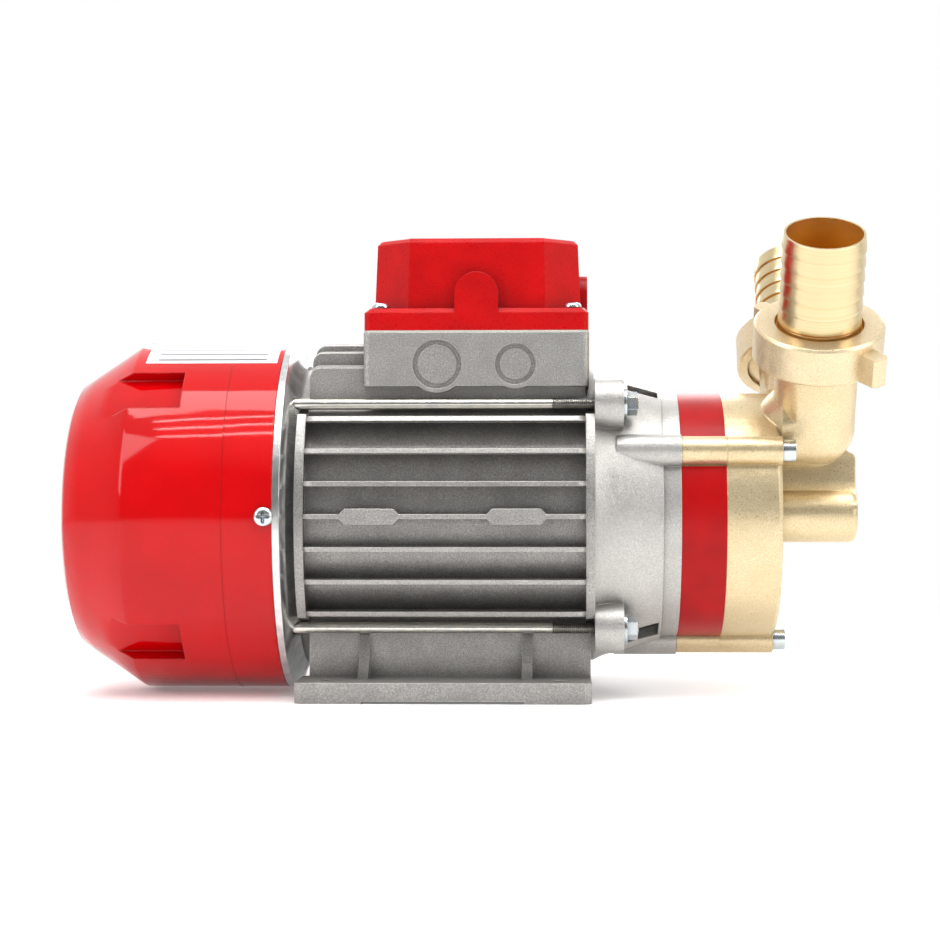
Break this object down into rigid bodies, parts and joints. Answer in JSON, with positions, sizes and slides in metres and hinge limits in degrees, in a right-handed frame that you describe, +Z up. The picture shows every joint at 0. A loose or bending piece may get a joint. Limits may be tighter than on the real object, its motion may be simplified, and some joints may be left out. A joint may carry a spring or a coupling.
{
  "type": "electric pump",
  "caption": "Foot-mounted electric motor with cooling fins, fan cowl and terminal box, driving a brass self-priming pump with upright barbed hose tails.",
  "frame": {"origin": "centre of the four foot bolts, on the plane the feet stand on", "axes": "+X along the shaft towards the pump, +Y away from the side that the picture shows, +Z up"},
  "size_m": [0.3193, 0.1508, 0.1861],
  "materials": {
    "cast_aluminium": "as cast, fine grain",
    "machined_aluminium": "turned",
    "red_plastic": "glossy moulded",
    "red_coat": "satin",
    "cast_brass": "satin, as cast and blasted",
    "turned_brass": "turned, bright",
    "zinc_steel": "zinc plated",
    "steel": "bare",
    "bright_steel": "ground",
    "copper_wire": "varnished wire",
    "rubber": "matt",
    "ceramic": "lapped ceramic",
    "carbon": "lapped carbon",
    "black_plastic": "moulded",
    "phenolic": "moulded",
    "white_plastic": "moulded",
    "gasket_sheet": "foam sheet"
  },
  "bodies": {
    "motor": {"motor_housing": "cast_aluminium", "rear_endshield": "machined_aluminium", "fan_cowl": "red_plastic", "cowl_screws": "zinc_steel", "tie_rods": "zinc_steel", "tie_rod_nuts": "zinc_steel", "front_bracket": "cast_aluminium", "stator_core": "steel", "stator_windings": "copper_wire", "rear_bearing_outer": "bright_steel", "front_bearing_outer": "bright_steel", "preload_washer": "steel", "terminal_board": "phenolic", "terminal_studs": "turned_brass", "run_capacitor": "white_plastic", "earth_screw": "zinc_steel", "box_gasket": "gasket_sheet", "box_cover": "red_plastic", "box_cover_screws": "zinc_steel", "pump_body": "cast_brass", "red_strips": "red_coat", "seal_seat": "ceramic", "cover_o_ring": "rubber", "pump_cover": "cast_brass", "pump_bolts": "zinc_steel", "near_port_gasket": "rubber", "far_port_gasket": "rubber"},
    "rotor": {"motor_shaft": "bright_steel", "rotor_core": "steel", "rotor_cage": "machined_aluminium", "rear_bearing_inner": "bright_steel", "front_bearing_inner": "bright_steel", "cooling_fan": "black_plastic", "fan_circlip": "steel", "slinger_ring": "rubber", "seal_ring": "carbon", "seal_bellows": "rubber", "impeller": "turned_brass", "impeller_key": "steel"},
    "rear_ball_cage": {"rear_bearing_balls": "bright_steel", "rear_bearing_cage": "turned_brass"},
    "front_ball_cage": {"front_bearing_balls": "bright_steel", "front_bearing_cage": "turned_brass"},
    "near_tail": {"near_hose_tail": "turned_brass"},
    "near_nut": {"near_union_nut": "cast_brass"},
    "far_tail": {"far_hose_tail": "turned_brass"},
    "far_nut": {"far_union_nut": "cast_brass"}
  },
  "joints": [
    {"name": "rotor_spin", "type": "hinge", "parent": "motor", "child": "rotor", "pos_m": [0, 0, 0.071], "axis": [1, 0, 0], "continuous": true},
    {"name": "rear_ball_cage_spin", "type": "hinge", "parent": "motor", "child": "rear_ball_cage", "pos_m": [-0.0675, 0, 0.071], "axis": [1, 0, 0], "continuous": true},
    {"name": "front_ball_cage_spin", "type": "hinge", "parent": "motor", "child": "front_ball_cage", "pos_m": [0.0655, 0, 0.071], "axis": [1, 0, 0], "continuous": true},
    {"name": "near_tail_lift", "type": "slide", "parent": "motor", "child": "near_tail", "axis": [0, -0.5, 0.866], "range_m": [0, 0.007]},
    {"name": "near_nut_turn", "type": "hinge", "parent": "near_tail", "child": "near_nut", "pos_m": [0.145, -0.0395, 0.13942], "axis": [0, -0.5, 0.866], "range_deg": [0, 1080]},
    {"name": "far_tail_lift", "type": "slide", "parent": "motor", "child": "far_tail", "axis": [0, 0.5, 0.866], "range_m": [0, 0.007]},
    {"name": "far_nut_turn", "type": "hinge", "parent": "far_tail", "child": "far_nut", "pos_m": [0.145, 0.0395, 0.13942], "axis": [0, 0.5, 0.866], "range_deg": [0, 1080]}
  ],
  "couplings": [
    {"joint": "rear_ball_cage_spin", "follows": "rotor_spin", "ratio": 0.381},
    {"joint": "front_ball_cage_spin", "follows": "rotor_spin", "ratio": 0.381},
    {"joint": "near_tail_lift", "follows": "near_nut_turn", "m_per_rad": 0.00036749},
    {"joint": "far_tail_lift", "follows": "far_nut_turn", "m_per_rad": 0.00036749}
  ]
}
